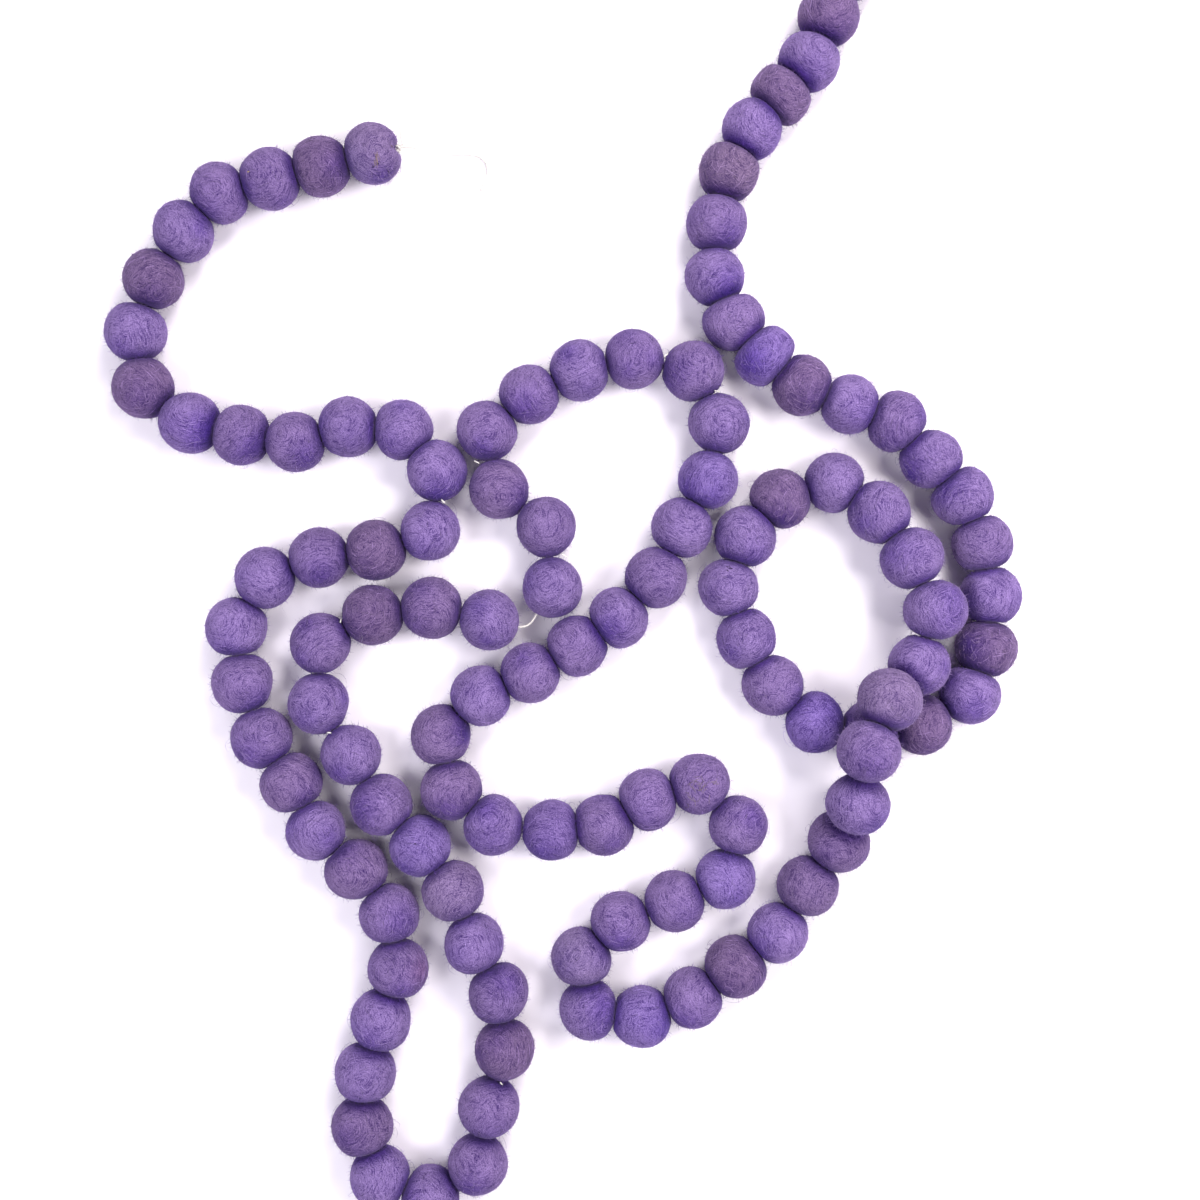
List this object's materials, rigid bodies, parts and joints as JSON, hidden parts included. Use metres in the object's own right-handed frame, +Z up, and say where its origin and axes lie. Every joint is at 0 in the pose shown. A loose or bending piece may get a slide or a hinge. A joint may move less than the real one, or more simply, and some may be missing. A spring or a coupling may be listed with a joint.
{
  "type": "felt ball garland",
  "caption": "String of small violet wool felt balls threaded edge to edge on white cotton string, lying in loose loops where the strand crosses over itself.",
  "frame": {"origin": "on the surface that the garland lies on, under the middle of its outline", "axes": "+Z up off the surface; +Y along the longest reach of the laid strand, towards its far end; +X to the right of it, so that the view from above is the picture's"},
  "size_m": [0.3049, 0.4651, 0.0402],
  "materials": {
    "felt_light": "matte, hazy wool felt",
    "felt_mid": "matte, hazy wool felt",
    "felt_dark": "matte, hazy wool felt",
    "string": "matte twisted cotton"
  },
  "bodies": {
    "root": {"balls_001_004": "felt_mid", "balls_005_007": "felt_light", "balls_008_009": "felt_dark", "balls_010_012": "felt_mid", "balls_013_014": "felt_light", "balls_015_017": "felt_light", "balls_018_020": "felt_light", "balls_021_023": "felt_mid", "balls_024_027": "felt_mid", "balls_028_030": "felt_light", "balls_031_033": "felt_light", "balls_034_036": "felt_dark", "balls_037_039": "felt_mid", "balls_040_042": "felt_light", "balls_043_045": "felt_dark", "balls_046_048": "felt_light", "balls_049_052": "felt_mid", "balls_053_055": "felt_mid", "balls_056_058": "felt_light", "balls_059_061": "felt_mid", "balls_062_064": "felt_mid", "balls_065_067": "felt_mid", "balls_068_069": "felt_mid", "balls_070_071": "felt_light", "balls_072_074": "felt_mid", "balls_075_076": "felt_light", "balls_077_078": "felt_dark", "balls_079_080": "felt_mid", "balls_081_082": "felt_light", "balls_083_084": "felt_mid", "balls_085_087": "felt_light", "balls_088_089": "felt_light", "balls_090_092": "felt_light", "balls_093_095": "felt_mid", "balls_096_097": "felt_dark", "balls_098_101": "felt_dark", "balls_102_104": "felt_light", "balls_105_107": "felt_dark", "balls_108_110": "felt_light", "balls_111_113": "felt_light", "balls_114_117": "felt_dark", "string_in_gap": "string", "string_knot": "string", "string_loose_end": "string"}
  },
  "joints": []
}
